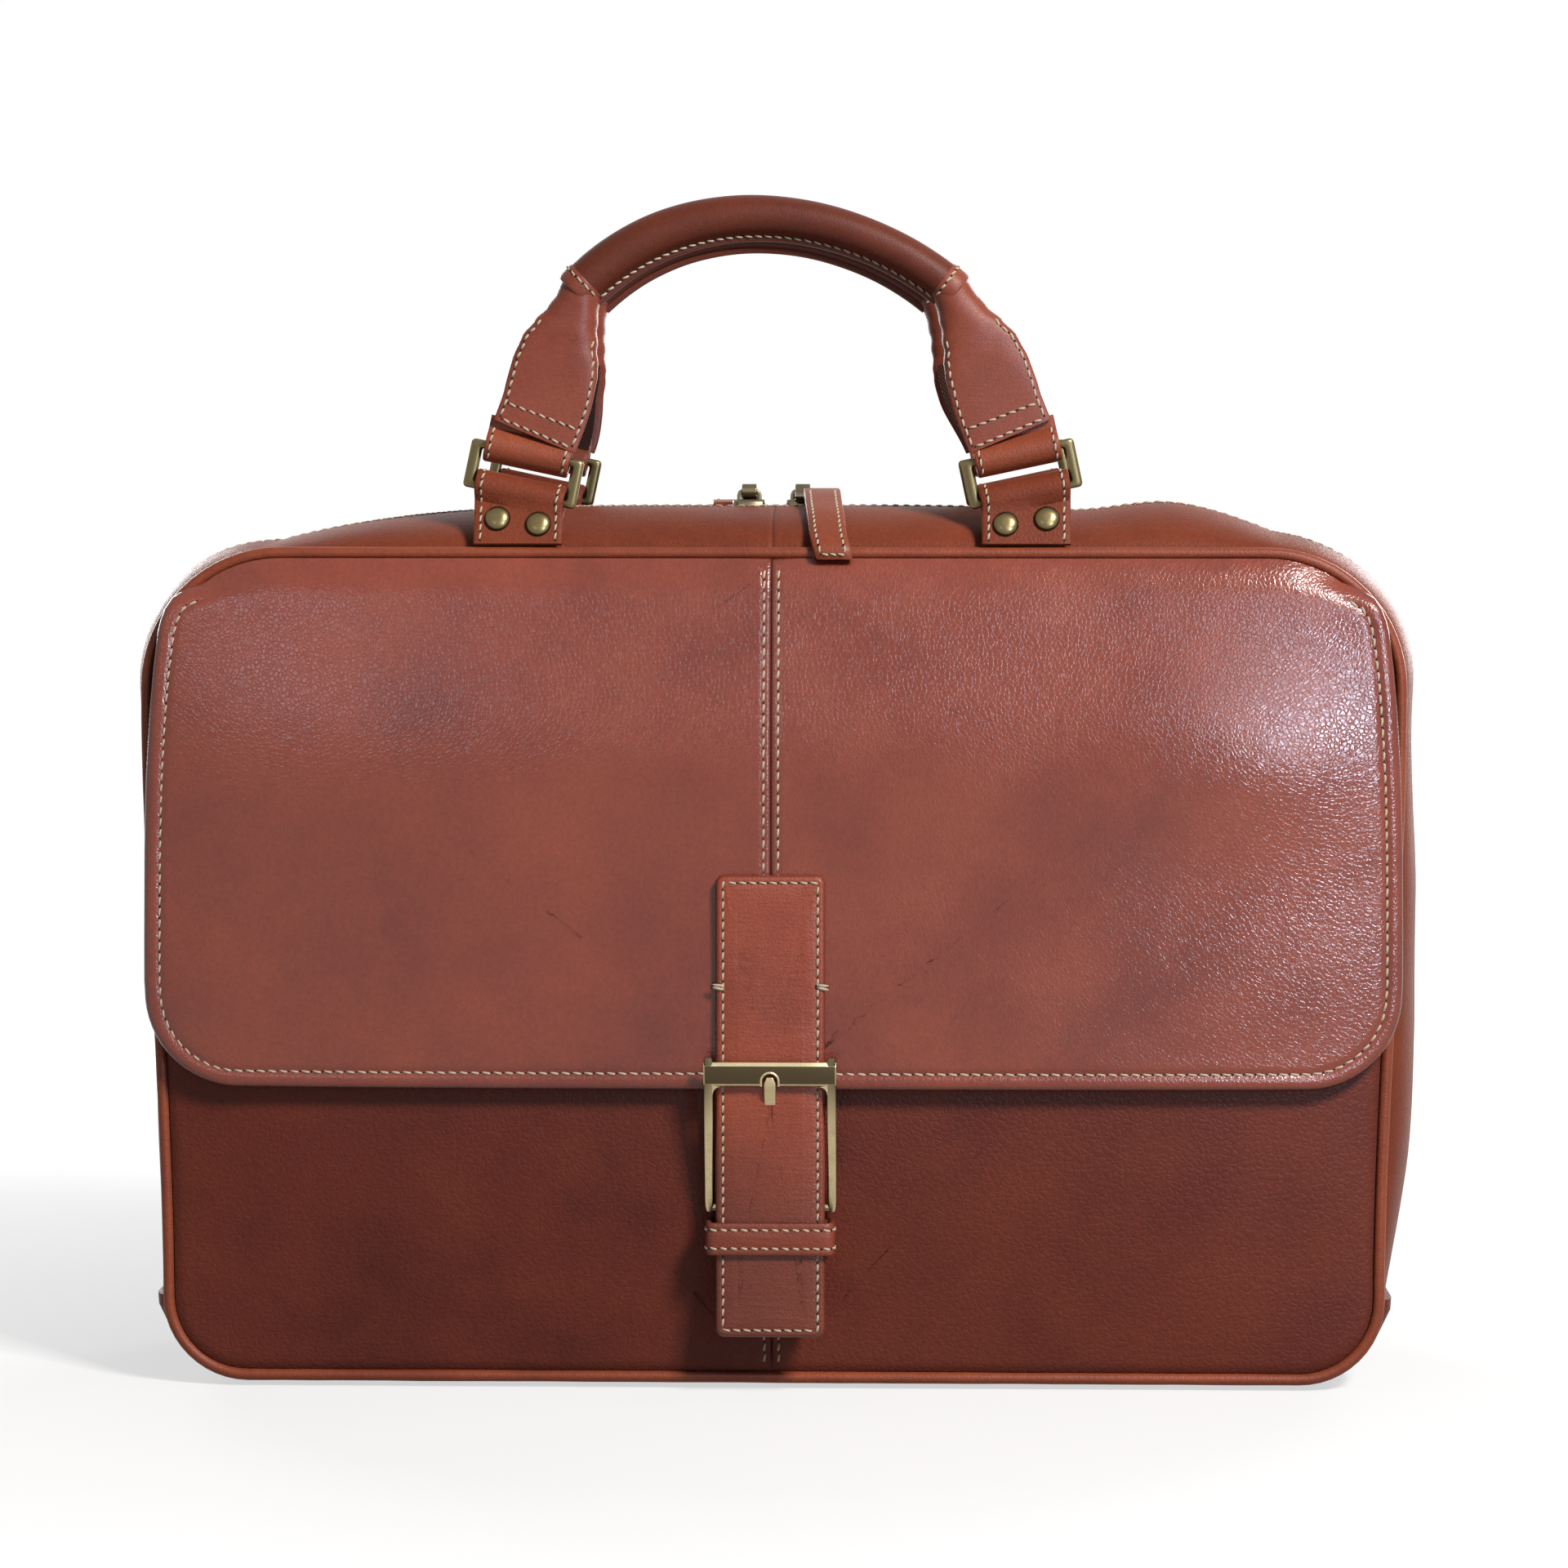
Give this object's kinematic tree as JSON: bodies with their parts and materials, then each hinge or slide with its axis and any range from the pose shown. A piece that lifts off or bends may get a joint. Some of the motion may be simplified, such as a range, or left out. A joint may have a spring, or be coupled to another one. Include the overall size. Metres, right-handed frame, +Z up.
{
  "type": "leather briefcase",
  "caption": "Leather briefcase with a zip-round shell, a front pocket under a buckled flap and rolled top handles on metal rings.",
  "frame": {"origin": "on the floor under the middle of the bag, on the flat of its bottom panel", "axes": "+X along the bag's width to the right of someone facing its front, -Y out of the front with the flap, +Z up to the handles"},
  "size_m": [0.4284, 0.129, 0.3909],
  "materials": {
    "tan_leather": "smooth waxed cognac leather",
    "dark_leather": "darker grained cognac leather",
    "piping_leather": "smooth orange-tan leather",
    "antique_brass": "antiqued brass plating",
    "webbing": "dark brown woven webbing",
    "zip_tape": "brown woven zip tape",
    "board": "pressed fibre board",
    "lining": "plain woven lining"
  },
  "bodies": {
    "bag": {"front_wall": "tan_leather", "front_pocket": "dark_leather", "back_panel": "tan_leather", "front_gusset": "tan_leather", "back_gusset": "tan_leather", "bottom_panel": "dark_leather", "front_piping": "piping_leather", "back_piping": "piping_leather", "front_zip_tape": "zip_tape", "back_zip_tape": "zip_tape", "zip_chain": "antique_brass", "base_board": "board", "lining": "lining", "flap_root": "tan_leather", "snap_stud": "antique_brass", "front_left_handle_tab": "tan_leather", "front_right_handle_tab": "tan_leather", "back_left_handle_tab": "tan_leather", "back_right_handle_tab": "tan_leather", "front_left_left_rivet": "antique_brass", "front_left_right_rivet": "antique_brass", "front_right_left_rivet": "antique_brass", "front_right_right_rivet": "antique_brass", "back_left_left_rivet": "antique_brass", "back_left_right_rivet": "antique_brass", "back_right_left_rivet": "antique_brass", "back_right_right_rivet": "antique_brass"},
    "flap": {"flap": "tan_leather", "flap_strap": "tan_leather", "buckle_frame": "antique_brass", "buckle_prong": "antique_brass", "strap_keeper": "tan_leather", "buckle_chape": "dark_leather", "snap_socket": "antique_brass"},
    "front_rings": {"front_left_ring": "antique_brass", "front_right_ring": "antique_brass"},
    "front_handle": {"front_handle_grip": "tan_leather", "front_left_handle_leg": "tan_leather", "front_left_handle_loop": "piping_leather", "front_left_handle_webbing": "webbing", "front_right_handle_leg": "tan_leather", "front_right_handle_loop": "piping_leather", "front_right_handle_webbing": "webbing"},
    "back_rings": {"back_left_ring": "antique_brass", "back_right_ring": "antique_brass"},
    "back_handle": {"back_handle_grip": "tan_leather", "back_left_handle_leg": "tan_leather", "back_left_handle_loop": "piping_leather", "back_left_handle_webbing": "webbing", "back_right_handle_leg": "tan_leather", "back_right_handle_loop": "piping_leather", "back_right_handle_webbing": "webbing"},
    "left_slider": {"left_slider": "antique_brass"},
    "left_pull": {"left_pull_link": "antique_brass", "left_pull": "piping_leather"},
    "right_slider": {"right_slider": "antique_brass"},
    "right_pull": {"right_pull_link": "antique_brass", "right_pull": "piping_leather"}
  },
  "joints": [
    {"name": "flap_hinge", "type": "hinge", "parent": "bag", "child": "flap", "pos_m": [0, -0.0545, 0.262], "axis": [1, 0, 0], "range_deg": [-140, 0]},
    {"name": "front_ring_hinge", "type": "hinge", "parent": "bag", "child": "front_rings", "pos_m": [0, -0.0432, 0.2932], "axis": [1, 0, 0], "range_deg": [-10, 60], "deforming": ["front_left_handle_tab", "front_right_handle_tab"]},
    {"name": "front_handle_hinge", "type": "hinge", "parent": "front_rings", "child": "front_handle", "pos_m": [0, -0.0432, 0.3065], "axis": [1, 0, 0], "range_deg": [-20, 90], "deforming": ["front_left_handle_loop", "front_right_handle_loop"]},
    {"name": "back_ring_hinge", "type": "hinge", "parent": "bag", "child": "back_rings", "pos_m": [0, 0.0432, 0.2932], "axis": [1, 0, 0], "range_deg": [-60, 10], "deforming": ["back_left_handle_tab", "back_right_handle_tab"]},
    {"name": "back_handle_hinge", "type": "hinge", "parent": "back_rings", "child": "back_handle", "pos_m": [0, 0.0432, 0.3065], "axis": [1, 0, 0], "range_deg": [-90, 20], "deforming": ["back_left_handle_loop", "back_right_handle_loop"]},
    {"name": "right_slide", "type": "slide", "parent": "bag", "child": "right_slider", "axis": [1, 0, 0], "range_m": [0, 0.03]},
    {"name": "left_slide", "type": "slide", "parent": "bag", "child": "left_slider", "axis": [1, 0, 0], "range_m": [-0.03, 0]},
    {"name": "right_pull_hinge", "type": "hinge", "parent": "right_slider", "child": "right_pull", "pos_m": [0, 0, 0.2938], "axis": [1, 0, 0], "range_deg": [-120, 0]},
    {"name": "left_pull_hinge", "type": "hinge", "parent": "left_slider", "child": "left_pull", "pos_m": [0, 0, 0.2938], "axis": [1, 0, 0], "range_deg": [0, 120]}
  ]
}
